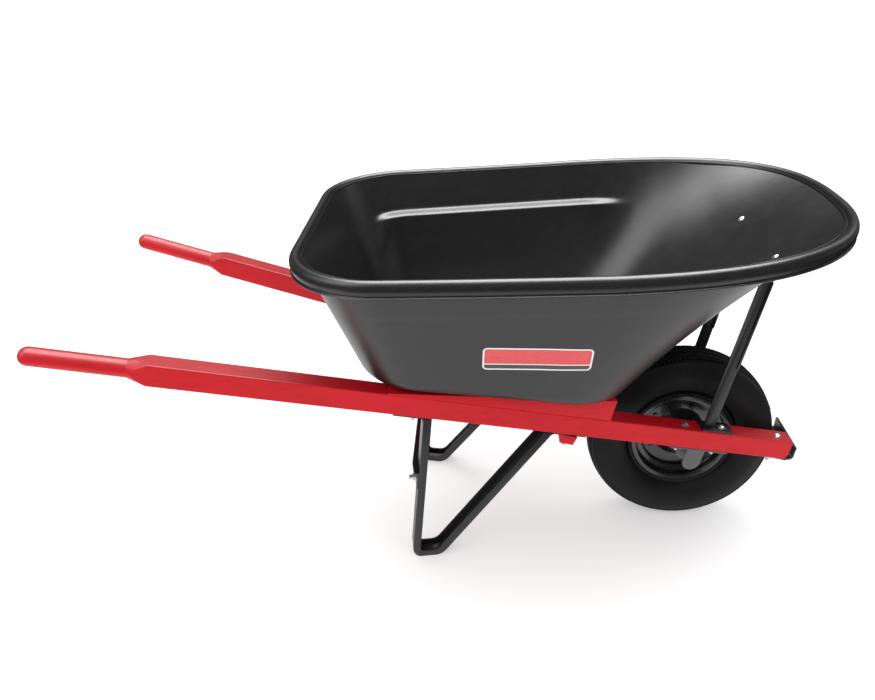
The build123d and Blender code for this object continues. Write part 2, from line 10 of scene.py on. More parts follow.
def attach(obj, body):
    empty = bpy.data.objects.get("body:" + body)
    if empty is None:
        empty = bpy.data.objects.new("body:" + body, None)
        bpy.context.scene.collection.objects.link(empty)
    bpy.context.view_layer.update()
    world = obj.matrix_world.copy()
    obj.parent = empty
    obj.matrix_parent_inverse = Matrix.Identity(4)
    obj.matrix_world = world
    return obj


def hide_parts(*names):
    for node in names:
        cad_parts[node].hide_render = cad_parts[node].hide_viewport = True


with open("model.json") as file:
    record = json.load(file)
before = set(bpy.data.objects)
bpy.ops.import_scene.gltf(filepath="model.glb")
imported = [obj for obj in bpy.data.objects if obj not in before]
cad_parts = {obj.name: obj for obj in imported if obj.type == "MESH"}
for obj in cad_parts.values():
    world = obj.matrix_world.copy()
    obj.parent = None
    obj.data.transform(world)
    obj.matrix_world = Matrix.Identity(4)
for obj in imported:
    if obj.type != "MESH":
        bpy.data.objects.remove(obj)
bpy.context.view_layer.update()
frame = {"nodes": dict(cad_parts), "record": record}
print("frame loaded")

millimetre = 0.001
wheelJoint = frame["record"]["behaviour"]["joints"][0]
axle = Vector(wheelJoint["pos_m"])


def fromAxle(x, y, z):  # millimetres from the floor point under the axle to metres in the frame
    return Vector((axle.x + x * millimetre, y * millimetre, z * millimetre))


# a small way of writing materials as sums of nodes

class Value:  # a socket that takes part in sums
    def __init__(self, paint, socket):
        self.paint = paint
        self.socket = socket

    def __add__(self, other):
        return self.paint.maths("ADD", self, other)

    def __radd__(self, other):
        return self.paint.maths("ADD", other, self)

    def __sub__(self, other):
        return self.paint.maths("SUBTRACT", self, other)

    def __rsub__(self, other):
        return self.paint.maths("SUBTRACT", other, self)

    def __mul__(self, other):
        return self.paint.maths("MULTIPLY", self, other)

    def __rmul__(self, other):
        return self.paint.maths("MULTIPLY", other, self)

    def __gt__(self, other):
        return self.paint.maths("GREATER_THAN", self, other)

    def __lt__(self, other):
        return self.paint.maths("LESS_THAN", self, other)


class Paint:  # one material and its node tree
    def __init__(self, name, roughness=0.5, metallic=0.0, coat=0.0, specular=0.5):
        self.material = bpy.data.materials.new(name)
        self.material.use_nodes = True
        self.tree = self.material.node_tree
        self.surface = self.tree.nodes["Principled BSDF"]
        self.surface.inputs["Roughness"].default_value = roughness
        self.surface.inputs["Metallic"].default_value = metallic
        self.surface.inputs["Coat Weight"].default_value = coat
        self.surface.inputs["Specular IOR Level"].default_value = specular
        self.place = self.node("ShaderNodeTexCoord", {}, output="Object")

    def node(self, kind, settings, *values, output=0, **named):
        made = self.tree.nodes.new(kind)
        stops = settings.pop("stops", None)
        for key, value in settings.items():
            setattr(made, key, value)
        if stops:
            ramp = made.color_ramp
            while len(ramp.elements) < len(stops):
                ramp.elements.new(0.5)
            for element, (position, colour) in zip(ramp.elements, stops):
                element.position = position
                element.color = (*colour, 1.0)
        for key, value in list(enumerate(values)) + list(named.items()):
            socket = made.inputs[key if isinstance(key, int) else key.replace("_", " ")]
            if isinstance(value, Value):
                self.tree.links.new(value.socket, socket)
            elif value is not None:
                socket.default_value = value
        return Value(self, made.outputs[output])

    def maths(self, operation, *values):
        return self.node("ShaderNodeMath", {"operation": operation}, *values)

    def noise(self, scale, detail=3.0, rough=0.5, where=None):
        return self.node("ShaderNodeTexNoise", {}, Vector=where or self.place, Scale=scale, Detail=detail,
                         Roughness=rough)

    def ramp(self, value, *stops):
        return self.node("ShaderNodeValToRGB", {"stops": stops}, value)

    def grey(self, value, *stops):
        return self.ramp(value, *[(position, (level,) * 3) for position, level in stops])

    def blend(self, share, first, second, how="MIX"):
        made = self.tree.nodes.new("ShaderNodeMix")
        made.data_type = "RGBA"
        made.blend_type = how
        for index, value in ((0, share), (6, first), (7, second)):
            if isinstance(value, Value):
                self.tree.links.new(value.socket, made.inputs[index])
            elif index == 0:
                made.inputs[index].default_value = value
            else:
                made.inputs[index].default_value = (*value, 1.0)
        return Value(self, made.outputs[2])

    def axis(self, letter, where=None):
        return self.node("ShaderNodeSeparateXYZ", {}, where or self.place, output="XYZ".index(letter))

    def feed(self, name, value):
        self.tree.links.new(value.socket, self.surface.inputs[name])

    def bump(self, height, depth, strength=1.0):
        bumped = self.node("ShaderNodeBump", {}, Strength=strength, Distance=depth, Height=height)
        self.feed("Normal", bumped)


def moulded(name, tint, grainScale, grainDepth, roughness):
    paint = Paint(name)
    cloud = paint.noise(3.0, 4.0)
    dust = paint.noise(38.0, 5.0, 0.6)
    paint.feed("Base Color", paint.blend(
        paint.grey(dust, (0.45, 0.0), (0.75, 0.22)), tint, [level * 1.9 + 0.006 for level in tint]))
    paint.feed("Roughness", cloud * 0.14 + dust * 0.08 + (roughness - 0.11))
    grain = paint.noise(grainScale, 2.0, 0.6)
    ripple = paint.noise(22.0, 1.0)
    paint.bump(grain * 0.35 + ripple * 0.65, grainDepth, 0.5)
    return paint.material


def paintedWood(name, tint, direction):
    paint = Paint(name, coat=0.08, specular=0.22)
    paint.surface.inputs["Coat Roughness"].default_value = 0.25
    turned = paint.node("ShaderNodeMapping", {}, paint.place, Rotation=direction, Scale=(1.0, 14.0, 14.0))
    grain = paint.noise(9.0, 5.0, 0.62, where=turned)
    pores = paint.noise(60.0, 3.0, 0.55, where=turned)
    cloud = paint.noise(4.5, 3.0)
    dark = [level * 0.8 for level in tint]
    body = paint.blend(paint.grey(grain, (0.3, 0.0), (0.7, 1.0)), dark, tint)
    light = [min(1.0, level * 1.12) for level in tint]
    paint.feed("Base Color", paint.blend(paint.grey(cloud, (0.4, 0.0), (0.75, 0.55)), body, light))
    paint.feed("Roughness", 0.34 + grain * 0.16 + cloud * 0.06)
    paint.bump(grain * 0.6 + pores * 0.4, 0.0006, 0.55)
    return paint.material


def coatedSteel(name, tint, roughness):
    paint = Paint(name)
    peel = paint.noise(420.0, 2.0, 0.5)
    cloud = paint.noise(9.0, 4.0)
    scuff = paint.noise(55.0, 6.0, 0.7)
    paint.feed("Base Color", paint.blend(
        paint.grey(scuff, (0.58, 0.0), (0.78, 0.35)), tint, [level * 1.9 + 0.015 for level in tint]))
    paint.feed("Roughness", cloud * 0.16 + scuff * 0.1 + (roughness - 0.13))
    paint.bump(peel, 0.00025, 0.45)
    return paint.material


def platedSteel(name, tint, roughness, spangle):
    paint = Paint(name, metallic=0.9)
    cells = paint.node("ShaderNodeTexVoronoi", {}, Vector=paint.place, Scale=spangle, output="Color")
    cloud = paint.noise(30.0, 4.0, 0.6)
    body = paint.blend(0.12, tint, cells, "MULTIPLY")
    dull = [level * 0.72 for level in tint]
    paint.feed("Base Color", paint.blend(paint.grey(cloud, (0.4, 0.0), (0.8, 0.6)), body, dull))
    paint.feed("Roughness", cloud * 0.2 + (roughness - 0.1))
    paint.bump(cloud, 0.0002, 0.4)
    return paint.material


def tyreRubber(name, tint):
    paint = Paint(name, specular=0.2)
    fine = paint.noise(260.0, 3.0, 0.6)
    dust = paint.noise(16.0, 5.0, 0.65)
    paint.feed("Base Color", paint.blend(
        paint.grey(dust, (0.42, 0.0), (0.8, 0.6)), tint, [level * 1.7 + 0.003 for level in tint]))
    paint.feed("Roughness", 0.52 + dust * 0.2)
    paint.bump(fine, 0.0003, 0.4)
    return paint.material


def glossPaint(name, tint):
    paint = Paint(name, coat=0.6)
    paint.surface.inputs["Coat Roughness"].default_value = 0.06
    cloud = paint.noise(14.0, 4.0)
    peel = paint.noise(120.0, 2.0)
    paint.feed("Base Color", paint.blend(
        paint.grey(cloud, (0.45, 0.0), (0.8, 0.4)), tint, [level * 1.8 + 0.008 for level in tint]))
    paint.feed("Roughness", 0.2 + cloud * 0.14)
    paint.bump(peel, 0.00015, 0.3)
    return paint.material


alongHandle = (0.0, math.radians(12), math.radians(8.4))  # how the wood grain is turned
finishes = {
    "black_plastic": moulded("satinBlackPlastic", (0.011, 0.0115, 0.0125), 900.0, 0.0005, 0.35),
    "red_paint": paintedWood("redPaintedWood", (0.6, 0.003, 0.011), alongHandle),
    "black_steel": coatedSteel("blackPowderCoat", (0.014, 0.014, 0.016), 0.38),
    "bracket_steel": coatedSteel("darkBracketSteel", (0.085, 0.087, 0.09), 0.5),
    "zinc": platedSteel("brightZinc", (0.66, 0.67, 0.69), 0.34, 420.0),
    "tyre_rubber": tyreRubber("tyreRubber", (0.007, 0.0072, 0.0078)),
    "tube_rubber": tyreRubber("tubeRubber", (0.02, 0.02, 0.021)),
    "cap_plastic": moulded("capPlastic", (0.012, 0.012, 0.013), 700.0, 0.0003, 0.42),
    "rim_paint": glossPaint("glossBlackRim", (0.006, 0.006, 0.008)),
    "sticker": coatedSteel("plainSticker", (0.5, 0.03, 0.03), 0.3),
}
nodeSlots = {part["node"]: part["material_slot"] for part in frame["record"]["subparts"]}
for name, node in frame["nodes"].items():
    node.data.materials.clear()
    node.data.materials.append(finishes[nodeSlots[name]])
print("finishes made")


def addPiece(name, mesh, body, slotName, *standsFor, sharpAngle=35.0):
    data = bpy.data.meshes.new(name)
    mesh.to_mesh(data)
    mesh.free()
    data.polygons.foreach_set("use_smooth", [True] * len(data.polygons))
    data.set_sharp_from_angle(angle=math.radians(sharpAngle))
    data.materials.append(finishes[slotName])
    piece = bpy.data.objects.new(name, data)
    bpy.context.scene.collection.objects.link(piece)
    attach(piece, body)
    if standsFor:
        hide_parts(*standsFor)
    return piece


# the tray, in millimetres from the floor point under the axle
tray = {
    "stations": 216,
    "wall": 5.0,
    "baseRound": 27.0,
    "floor": {"rear": -677.0, "front": -155.0, "widest": -330.0, "half": 199.0,
              "rearHalf": 217.0, "corner": 105.0, "fullness": 3.0},
    "swell": {"rear": -743.2, "front": 101.8, "widest": -229.5, "half": 308.0,
              "rearHalf": 281.0, "corner": 140.0, "fullness": 2.6},
    "rim": {"rear": -792.0, "front": 241.2, "widest": -232.5, "half": 357.4,
            "rearHalf": 327.3, "corner": 174.0, "fullness": 2.58},
    "rimHeight": 732.7, "rimSlope": 0.0690,
    "swellDrop": 82.2,
    "floorHeight": 366.8, "floorMiddle": -176.5, "floorSlope": -0.1077,
    "swellShare": 0.70,
    "bendHeight": 0.000024, "bendMiddle": -300.0, "bendDrop": 1.9,
    "wallInset": 17.0, "wallTopDrop": 3.0,
    "ledgeDepth": 87.0, "ledgeStep": 15.0, "ledgeSoft": 9.0, "ledgeFade": 112.0,
    "ledgeRear": -680.0, "ledgeRearSoft": 12.0, "ledgeFront": -90.0, "ledgeFrontSoft": 120.0,
    "creaseStep": 0.8, "creaseFade": 120.0,
    "noseThin": 4.2, "noseThinRear": -40.0, "noseThinFront": 70.0,  # thinner here, so the bolt heads show
    "floorCentre": -420.0, "floorCentreShare": 0.35, "cornerReach": 1.15,
}


def outlineMaker(sizes, grow=0.0):  # half outline from the rear middle to the nose, walked by its length
    rear, front = sizes["rear"] - grow, sizes["front"] + grow
    half, rearHalf = sizes["half"] + grow, sizes["rearHalf"] + grow
    corner, widest = sizes["corner"] + grow, sizes["widest"]
    lean = math.atan2(half - rearHalf, widest - rear)
    turn = math.pi / 2 - lean
    reach = corner * math.tan(turn / 2)
    centre = Vector((rear + corner, rearHalf - reach))
    path = [Vector((rear, rearHalf * step / 12 * (1 - reach / rearHalf))) for step in range(12)]
    for step in range(25):
        angle = math.pi - turn * step / 24
        path.append(centre + Vector((math.cos(angle), math.sin(angle))) * corner)
    sideStart = path[-1]
    path += [sideStart.lerp(Vector((widest, half)), step / 12) for step in range(1, 12)]
    for step in range(61):
        angle = math.pi / 2 * (1 - step / 60)
        across = math.cos(angle) ** (2 / sizes["fullness"])
        rise = math.sin(angle) ** (2 / sizes["fullness"]) if step < 60 else 0.0
        path.append(Vector((widest + (front - widest) * across, half * rise)))
    walked = [0.0]
    for before, after in zip(path, path[1:]):
        walked.append(walked[-1] + (after - before).length)

    def at(share):  # 0 and 1 are the rear middle, 0.5 the nose
        mirror = 1.0 if share <= 0.5 else -1.0
        goal = (share if share <= 0.5 else 1.0 - share) * 2 * walked[-1]
        low = 0
        while low < len(walked) - 2 and walked[low + 1] < goal:
            low += 1
        piece = walked[low + 1] - walked[low]
        spot = path[low].lerp(path[low + 1], (goal - walked[low]) / piece if piece else 0.0)
        return Vector((spot.x, spot.y * mirror))
    return at


floorLine = outlineMaker(tray["floor"])
swellLine = outlineMaker(tray["swell"])
wallLine = outlineMaker(tray["rim"], -tray["wallInset"])
rimLine = outlineMaker(tray["rim"])


def rimRise(x):  # the rim's two ends rise a little above its plane
    return tray["bendHeight"] * (x - tray["bendMiddle"]) ** 2 - tray["bendDrop"]


def rimPlane(spot, drop=0.0):
    return Vector((spot.x, spot.y, tray["rimHeight"] + tray["rimSlope"] * spot.x - drop))


def floorPlane(spot):
    height = tray["floorHeight"] + tray["floorSlope"] * (spot.x - tray["floorMiddle"])
    return Vector((spot.x, spot.y, height))


def wallPoint(share, rise):  # outer wall, 0 at the floor's sharp edge and 1 under the rim
    low = floorPlane(floorLine(share))
    middle = rimPlane(swellLine(share), tray["swellDrop"])
    high = rimPlane(wallLine(share), tray["wallTopDrop"])
    knee = tray["swellShare"]
    spot = (low * ((rise - knee) * (rise - 1) / knee)
            + middle * (rise * (rise - 1) / (knee * (knee - 1)))
            + high * (rise * (rise - knee) / (1 - knee)))
    spot.z += rimRise(spot.x) * max(rise, 0.0) ** 3
    return spot


def shellPoint(share, climb):  # 0 to 1 crosses the floor, 1 to 2 rounds its edge, 2 to 3 climbs the wall
    corner = floorPlane(floorLine(share))
    height = (wallPoint(share, 0.5) - corner).length * 2
    upEnd = tray["baseRound"] / height
    centre = tray["floorCentre"]
    middle = floorPlane(Vector((centre + tray["floorCentreShare"] * (corner.x - centre), 0.0)))
    inward = (middle - corner).normalized()
    start = corner + inward * tray["baseRound"] * tray["cornerReach"]
    if climb <= 1:
        return middle.lerp(start, climb)
    if climb <= 2:
        turn = climb - 1
        end = wallPoint(share, upEnd)
        return start * (1 - turn) ** 2 + corner * 2 * turn * (1 - turn) + end * turn ** 2
    return wallPoint(share, upEnd + (1 - upEnd) * (climb - 2))


def shellNormal(share, climb):
    small = 0.002
    along = shellPoint((share + small) % 1.0, climb) - shellPoint((share - small) % 1.0, climb)
    low, high = max(climb - small, 0.02), min(climb + small, 3.0)
    up = shellPoint(share, high) - shellPoint(share, low)
    return up.cross(along).normalized()


def smoothStep(value, start, end):
    share = min(max((value - start) / (end - start), 0.0), 1.0)
    return share * share * (3 - 2 * share)


def ledge(spot, step, fadeEnd):  # how far a wall stands in under the ledge
    drop = tray["rimHeight"] + tray["rimSlope"] * spot.x - spot.z
    soft = tray["ledgeSoft"]
    inside = smoothStep(drop, tray["ledgeDepth"] - soft, tray["ledgeDepth"] + soft)
    fadeOut = max(1 - max(drop - tray["ledgeDepth"] - soft, 0.0) / fadeEnd, 0.0)
    rearSoft = tray["ledgeRearSoft"]
    ends = smoothStep(spot.x, tray["ledgeRear"] - rearSoft, tray["ledgeRear"] + rearSoft)
    ends *= 1 - smoothStep(spot.x, tray["ledgeFront"] - tray["ledgeFrontSoft"], tray["ledgeFront"])
    return step * inside * fadeOut * ends


def trayStation(index, place):
    kind, value = place[0], place[1]
    share = index / tray["stations"]
    if kind in ("outer", "inner"):
        climb = wallClimb(index, value)
        spot = shellPoint(share, climb)
        normal = shellNormal(share, climb)
        if kind == "outer":
            return spot - normal * ledge(spot, tray["creaseStep"], tray["creaseFade"])
        thin = tray["noseThin"] * smoothStep(spot.x, tray["noseThinRear"], tray["noseThinFront"])
        return spot - normal * (tray["wall"] - thin + ledge(spot, tray["ledgeStep"], tray["ledgeFade"]))
    edge = rimLine(share)
    ahead, behind = rimLine((share + 0.001) % 1.0), rimLine((share - 0.001) % 1.0)
    along = (ahead - behind).normalized()
    outward = Vector((-along.y, along.x))
    spot = rimPlane(edge - outward * value)
    spot.z += place[2] + rimRise(spot.x)
    return spot


# inset from the outer edge and height over the rim plane, from the mouth over the roll and back under it
rimProfile = [(23.4, -9.0), (23.0, -4.0), (22.5, -2.2), (21.6, -1.4), (20.7, -1.6), (20.0, -2.8),
              (19.3, -4.6), (18.4, -4.9), (17.6, -3.6), (16.4, -1.0), (14.6, 1.3), (12.0, 3.0),
              (9.0, 3.6), (6.0, 3.2), (3.2, 1.7), (1.0, -0.6), (-0.7, -3.6), (-1.8, -7.2),
              (-2.1, -11.0), (-1.6, -15.0), (-0.4, -19.0), (1.0, -22.0), (1.8, -24.0), (0.9, -25.2),
              (-0.6, -25.8), (-1.1, -26.9), (-0.4, -28.0), (1.4, -28.4), (2.9, -27.4), (3.6, -24.0),
              (2.6, -18.0), (2.2, -11.0), (4.0, -5.0), (9.0, -2.0), (14.0, -3.0), (16.6, -6.0)]
ledgeShare = 0.7  # share of the wall's rings that lie under the ledge


def ledgeClimb(share):
    low, high = 2.05, 2.98
    for _ in range(24):
        middle = (low + high) / 2
        spot = shellPoint(share, middle)
        drop = tray["rimHeight"] + tray["rimSlope"] * spot.x - spot.z
        low, high = (middle, high) if drop > tray["ledgeDepth"] else (low, middle)
    return low


ledgeClimbs = [ledgeClimb(index / tray["stations"]) for index in range(tray["stations"])]


def wallClimb(index, value):  # rings crowd towards the ledge at each station
    if value <= 2:
        return value
    knee = ledgeClimbs[index]
    if value < 2 + ledgeShare:
        return 2 + (knee - 2) * (value - 2) / ledgeShare
    return knee + (2.985 - knee) * (value - 2 - ledgeShare) / (1 - ledgeShare)


def makeTray():
    climbs = [0.35, 0.75, 1.0, 1.2, 1.4, 1.6, 1.8, 2.0]
    under = [0.04, 0.1, 0.18, 0.27, 0.36, 0.45, 0.54, 0.62, 0.7, 0.76, 0.81, 0.85, 0.88, 0.905, 0.925,
             0.94, 0.952, 0.962, 0.97, 0.977, 0.983, 0.989, 0.995]
    above = [0.0, 0.012, 0.024, 0.036, 0.048, 0.062, 0.08, 0.11, 0.16, 0.23, 0.32, 0.42, 0.53, 0.64,
             0.75, 0.86, 0.94, 1.0]
    wall = [2 + ledgeShare * share for share in under]
    wall += [2 + ledgeShare + (1 - ledgeShare) * share for share in above]
    inner = [("inner", climb) for climb in climbs + wall]
    rim = [("rim", inset, height) for inset, height in rimProfile]
    outer = [("outer", climb) for climb in reversed(climbs + wall)]
    mesh = bmesh.new()
    count = tray["stations"]
    rings = []
    for place in inner + rim + outer:
        made = bmesh.ops.create_circle(mesh, segments=count, radius=1.0)["verts"]
        for index, vertex in enumerate(made):
            vertex.co = trayStation(index, place)
        rings.append(made)
    for low, high in zip(rings, rings[1:]):
        edges = [edge for ring in (low, high) for edge in ringEdges(ring)]
        bmesh.ops.bridge_loops(mesh, edges=edges)
    for ring in (rings[0], rings[-1]):
        bmesh.ops.contextual_create(mesh, geom=ringEdges(ring))
    for vertex in mesh.verts:
        vertex.co = fromAxle(*vertex.co)
    bmesh.ops.recalc_face_normals(mesh, faces=mesh.faces)
    return mesh


def ringEdges(ring):
    members = set(ring)
    edges = set()
    for vertex in ring:
        edges.update(edge for edge in vertex.link_edges if edge.other_vert(vertex) in members)
    return list(edges)


trayPiece = addPiece("trayShell", makeTray(), "frame", "black_plastic", "tray", sharpAngle=50.0)
print("tray made")

# a plain label on each side of the tray
label = {"middle": -347.0, "height": 516.0, "length": 196.0, "tall": 56.0, "corner": 9.0,
         "stand": 0.5, "thick": 0.4, "border": 3.0, "band": 0.26, "bandLine": 0.022,
         "tilt": 0.02, "castFrom": 500.0}


def makeLabel(side):
    wall = bmesh.new()
    wall.from_mesh(trayPiece.data)
    tree = BVHTree.FromBMesh(wall)
    mesh = bmesh.new()
    outline = []
    half, high, corner = label["length"] / 2, label["tall"] / 2, label["corner"]
    for centre, start in (((half - corner, high - corner), 0), ((corner - half, high - corner), 90),
                          ((corner - half, corner - high), 180), ((half - corner, corner - high), 270)):
        for step in range(7):
            angle = math.radians(start + 15 * step)
            spot = (centre[0] + corner * math.cos(angle), 0.0, centre[1] + corner * math.sin(angle))
            outline.append(mesh.verts.new(spot))
    mesh.faces.new(outline)
    for position in range(1, 14):
        bmesh.ops.bisect_plane(mesh, geom=mesh.verts[:] + mesh.edges[:] + mesh.faces[:],
                               plane_co=(half * (position / 7 - 1), 0, 0), plane_no=(1, 0, 0))
    for position in range(1, 6):
        bmesh.ops.bisect_plane(mesh, geom=mesh.verts[:] + mesh.edges[:] + mesh.faces[:],
                               plane_co=(0, 0, high * (position / 3 - 1)), plane_no=(0, 0, 1))
    flat = mesh.loops.layers.uv.new("labelPlace")
    for face in mesh.faces:
        for loop in face.loops:
            spot = loop.vert.co
            loop[flat].uv = (spot.x * -side / label["length"] + 0.5, spot.z / label["tall"] + 0.5)
    for vertex in mesh.verts:
        height = label["height"] + vertex.co.z + vertex.co.x * label["tilt"]
        spot = fromAxle(label["middle"] + vertex.co.x, label["castFrom"] * side, height)
        hit, normal, _, _ = tree.ray_cast(spot, Vector((0, -side, 0)))
        if normal.y * side < 0:
            normal = -normal
        vertex.co = hit + normal * (label["stand"] * millimetre)
    wall.free()
    bmesh.ops.recalc_face_normals(mesh, faces=mesh.faces)
    middleFace = max(mesh.faces, key=lambda face: face.calc_area())
    if middleFace.normal.y * side < 0:
        bmesh.ops.reverse_faces(mesh, faces=mesh.faces)
    bmesh.ops.solidify(mesh, geom=mesh.faces[:], thickness=label["thick"] * millimetre)
    return mesh


def labelPrint():
    paint = Paint("plainLabelPrint", coat=0.2)
    flat = paint.node("ShaderNodeUVMap", {"uv_map": "labelPlace"})
    across, up = paint.axis("X", flat), paint.axis("Y", flat)
    fromSide = paint.maths("ABSOLUTE", across - 0.5) * label["length"]
    fromTop = paint.maths("ABSOLUTE", up - 0.5) * label["tall"]
    overX = paint.maths("MAXIMUM", fromSide - (label["length"] / 2 - label["corner"]), 0.0)
    overY = paint.maths("MAXIMUM", fromTop - (label["tall"] / 2 - label["corner"]), 0.0)
    reach = paint.maths("SQRT", overX * overX + overY * overY)
    edge = reach > (label["corner"] - label["border"])
    band = up < label["band"]
    line = paint.maths("ABSOLUTE", up - label["band"]) < label["bandLine"]
    wear = paint.noise(90.0, 4.0, 0.6)
    red = paint.blend(paint.grey(wear, (0.3, 0.0), (0.8, 0.7)), (0.62, 0.045, 0.05), (0.74, 0.09, 0.09))
    colour = paint.blend(band, red, (0.035, 0.036, 0.038))
    colour = paint.blend(line, colour, (0.72, 0.72, 0.72))
    colour = paint.blend(edge, colour, (0.78, 0.78, 0.78))
    paint.feed("Base Color", colour)
    paint.feed("Roughness", 0.34 + wear * 0.12)
    paint.bump(wear, 0.0001, 0.3)
    return paint.material


finishes["sticker"] = labelPrint()
for side, name in ((-1, "right"), (1, "left")):
    addPiece(f"label_{name}", makeLabel(side), "frame", "sticker", f"badge_{name}")
print("labels made")

# the tyre, made upright on its own axis and then put in place
tyre = {"radius": 203.0, "halfWidth": 49.5, "bulge": 45.9, "steps": 288,
        "treadHalf": 33.0, "grooveDepth": 3.4,
        "zigzags": 48, "zigzagWidth": 2.4, "grooves": (8.5, 21.0), "slots": 72, "slotStart": 25.0,
        "beadHalf": 25.5, "beadRadius": 100.8, "treadFloor": 196.9, "crownDrop": 5.5}


def saw(value):  # 0 to 1 and back
    value = value % 1.0
    return 2 * value if value < 0.5 else 2 - 2 * value


def treadCut(across, turn):
    width = abs(across)
    if width > tyre["treadHalf"] + 1.5:
        return 0.0
    wave = tyre["zigzagWidth"] * (saw(turn * tyre["zigzags"]) - 0.5)
    cut = 0.0
    for middle in tyre["grooves"]:
        gap = abs(width - middle - wave)
        cut = max(cut, 1 - smoothStep(gap, 1.2, 2.4))
    if width > tyre["slotStart"]:
        gap = abs(saw(turn * tyre["slots"]) - 0.5) * 2
        cut = max(cut, (1 - smoothStep(gap, 0.22, 0.5)) * smoothStep(width, 25.5, 27.5))
    return cut * tyre["grooveDepth"] * (1 - smoothStep(width, tyre["treadHalf"] - 1, tyre["treadHalf"] + 1.5))


def tyreOuter():  # half of the section from the crown to the bead, as width and radius
    middle = tyre["radius"] - tyre["bulge"]
    widths = [tyre["treadHalf"] * step / 24 for step in range(25)]
    drops = [tyre["crownDrop"] * (width / tyre["treadHalf"]) ** 2.2 for width in widths]
    crown = [(width, tyre["radius"] - drop) for width, drop in zip(widths, drops)]
    side = [(34.6, 196.0), (36.4, 194.4), (38.0, 193.6), (38.9, 191.4), (39.4, 188.6), (41.6, 185.0)]
    for step in range(2, 17):
        angle = math.radians(38 - 7.3 * step)
        if angle > -1.2:
            width = tyre["halfWidth"] * math.cos(angle) ** 0.96
            side.append((width, middle + tyre["bulge"] * math.sin(angle)))
    side = [spot for spot in side if spot[1] > 116.0]
    low = [(34.8, 115.4), (33.6, 112.6), (33.4, 110.6), (32.0, 109.2), (29.4, 108.4), (27.6, 106.0),
           (tyre["beadHalf"], 102.4), (tyre["beadHalf"] - 1.6, tyre["beadRadius"])]
    return crown + side + low


def makeTyre():
    outer = tyreOuter()
    inner = [(18.0, tyre["beadRadius"]), (17.0, 104.0), (20.0, 116.0), (34.0, 130.0), (42.5, 150.0),
             (41.0, 172.0), (30.0, 190.0), (14.0, 196.2), (0.0, 196.8)]
    mesh = bmesh.new()
    half = outer + inner
    loop = half + [(-width, radius) for width, radius in reversed(half[1:-1])]
    verts = [mesh.verts.new((width, 0.0, radius)) for width, radius in loop]
    edges = [mesh.edges.new((verts[index], verts[(index + 1) % len(verts)])) for index in range(len(verts))]
    bmesh.ops.spin(mesh, geom=verts + edges, cent=(0, 0, 0), axis=(1, 0, 0), dvec=(0, 0, 0),
                   angle=math.tau, steps=tyre["steps"], use_merge=True)
    bmesh.ops.remove_doubles(mesh, verts=mesh.verts, dist=0.01)
    for vertex in mesh.verts:
        radius = math.hypot(vertex.co.y, vertex.co.z)
        turn = math.atan2(vertex.co.y, vertex.co.z) / math.tau
        if radius > tyre["treadFloor"]:
            cut = treadCut(vertex.co.x, turn)
            vertex.co.y *= (radius - cut) / radius
            vertex.co.z *= (radius - cut) / radius
    for vertex in mesh.verts:
        vertex.co = fromAxle(vertex.co.y, -vertex.co.x, vertex.co.z + tyre["radius"])
    bmesh.ops.recalc_face_normals(mesh, faces=mesh.faces)
    return mesh


addPiece("tyreCasing", makeTyre(), "wheel", "tyre_rubber", "tyre", sharpAngle=32.0)
print("tyre made")

# steel and wood parts with their edges eased, by this much in millimetres
easedParts = {"leg_right": 0.7, "leg_left": 0.7, "leg_brace": 0.6, "tray_brace_right": 0.7,
              "tray_brace_left": 0.7, "nose_guard": 0.7, "axle_bracket_right": 0.6,
              "axle_bracket_left": 0.6, "cross_member": 1.2, "wedge_right": 0.9, "wedge_left": 0.9}


def easedCopy(nodeName, width):
    mesh = bmesh.new()
    mesh.from_mesh(frame["nodes"][nodeName].data)
    bmesh.ops.remove_doubles(mesh, verts=mesh.verts, dist=0.00002)
    bmesh.ops.dissolve_limit(mesh, angle_limit=math.radians(1.5), verts=mesh.verts, edges=mesh.edges)
    corners = [edge for edge in mesh.edges if edge.is_manifold and edge.calc_face_angle() > math.radians(40)]
    bmesh.ops.bevel(mesh, geom=corners, offset=width * millimetre, offset_type="OFFSET", affect="EDGES",
                    segments=2, profile=0.5, material=-1, clamp_overlap=True)
    return mesh


for nodeName, width in easedParts.items():
    addPiece(nodeName + "_eased", easedCopy(nodeName, width), "frame", nodeSlots[nodeName], nodeName)
print("eased parts made")

# floor, lights and camera
studio = {
    "floorTint": (0.88, 0.88, 0.88), "floorGlow": 0.36, "floorReach": 30.0,
    "behind": 1.0, "ambient": 0.85, "mirrored": 0.05,  # the room as the lens, dull and shiny surfaces see it
    "keyStrength": 1.0, "keySpread": 60.0,
    "shineStrength": 13.0, "shineSpread": 58.0,
    "rearShine": 1.8, "rearSpread": 42.0,
    "sidePower": 8.0, "sideTarget": (0.0, 0.0, 0.4),
    "flagHole": (1.25, 0.95), "flagReach": 12.0, "flagHeight": 0.002,
}


def addStage(name, corners, paint):
    mesh = bmesh.new()
    mesh.faces.new([mesh.verts.new(corner) for corner in corners])
    data = bpy.data.meshes.new(name)
    mesh.to_mesh(data)
    mesh.free()
    data.materials.append(paint.material)
    piece = bpy.data.objects.new(name, data)
    bpy.context.scene.collection.objects.link(piece)
    return piece


floorPaint = Paint("paleFloor", roughness=0.6, specular=0.2)
floorPaint.surface.inputs["Base Color"].default_value = (*studio["floorTint"], 1.0)
floorPaint.surface.inputs["Emission Color"].default_value = (1.0, 1.0, 1.0, 1.0)
floorPaint.surface.inputs["Emission Strength"].default_value = studio["floorGlow"]
reach = studio["floorReach"]
corners = [(-reach, -reach, 0), (reach, -reach, 0), (reach, reach, 0), (-reach, reach, 0)]
addStage("ground", corners, floorPaint)

